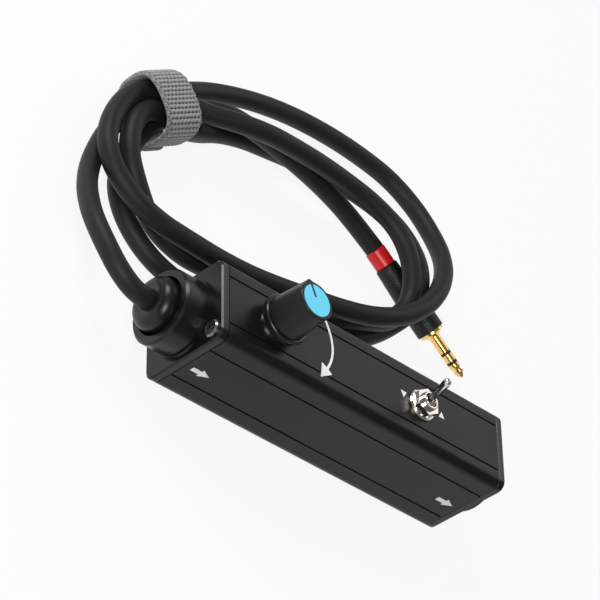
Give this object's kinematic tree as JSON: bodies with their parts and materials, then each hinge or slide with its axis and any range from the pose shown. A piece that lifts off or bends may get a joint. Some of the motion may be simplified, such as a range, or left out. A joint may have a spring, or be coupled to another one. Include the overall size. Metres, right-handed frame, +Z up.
{
  "type": "ground loop isolator",
  "caption": "Slim box that breaks an audio ground loop, with a level knob, a ground lift toggle, a captive coiled cable ending in a mini plug, and a round output socket.",
  "frame": {"origin": "on the surface the box lies on, under the middle of the housing", "axes": "+X along the housing, from the cable end to the output socket; +Z up through the face that holds the knob and the toggle; -Y is the side that carries the flow arrows"},
  "size_m": [0.1704, 0.132, 0.0484],
  "materials": {
    "housing": "black anodised, satin",
    "black_metal": "satin black",
    "black_plastic": "matte black",
    "blue_cap": "smooth sky blue",
    "rubber": "matte, charcoal",
    "cable": "matte soft jacket, charcoal",
    "strap": "woven hook-and-loop strap, grey",
    "red_sleeve": "glossy red",
    "gold": "bright gold plate",
    "nickel": "bright nickel plate",
    "screw_steel": "black nickel",
    "contact_silver": "silver plate",
    "board": "green solder mask",
    "core_steel": "stacked laminations, dull",
    "former_plastic": "ivory nylon",
    "winding_tape": "yellow polyester tape over copper wire"
  },
  "bodies": {
    "case": {"housing": "housing", "inlet_plate": "black_metal", "boot": "rubber", "cord_clamp": "black_plastic", "cord_stub": "cable", "inlet_screws": "screw_steel", "outlet_shell": "black_metal", "outlet_insert": "black_plastic", "outlet_contacts": "contact_silver", "outlet_screws": "screw_steel", "pot_body": "black_plastic", "pot_bushing": "nickel", "pot_washer": "nickel", "pot_nut": "nickel", "toggle_body": "black_plastic", "toggle_bushing": "nickel", "flat_washer": "nickel", "lock_washer": "nickel", "toggle_nut": "nickel", "toggle_lugs": "contact_silver", "core_legs": "core_steel", "core_yoke_bar": "core_steel", "former": "former_plastic", "winding": "winding_tape", "transformer_pins": "contact_silver", "circuit_board": "board", "plug_sleeve_ring": "red_sleeve", "plug_barrel": "black_plastic", "plug_body": "gold", "plug_insulators": "black_plastic", "plug_ring_contact": "gold", "plug_tip": "gold", "cord_lead": "cable", "cord_tail": "cable", "cord_coil": "cable", "tie": "strap"},
    "knob_set": {"knob": "black_plastic", "knob_cap": "blue_cap", "pot_shaft": "nickel"},
    "lever_set": {"lever": "nickel"}
  },
  "joints": [
    {"name": "knob_turn", "type": "hinge", "parent": "case", "child": "knob_set", "pos_m": [-0.0373, 0, 0.04], "axis": [0, 0, 1], "range_deg": [0, 300]},
    {"name": "lever_flip", "type": "hinge", "parent": "case", "child": "lever_set", "pos_m": [0.0222, 0, 0.0343], "axis": [0, 1, 0], "range_deg": [0, 33]}
  ]
}
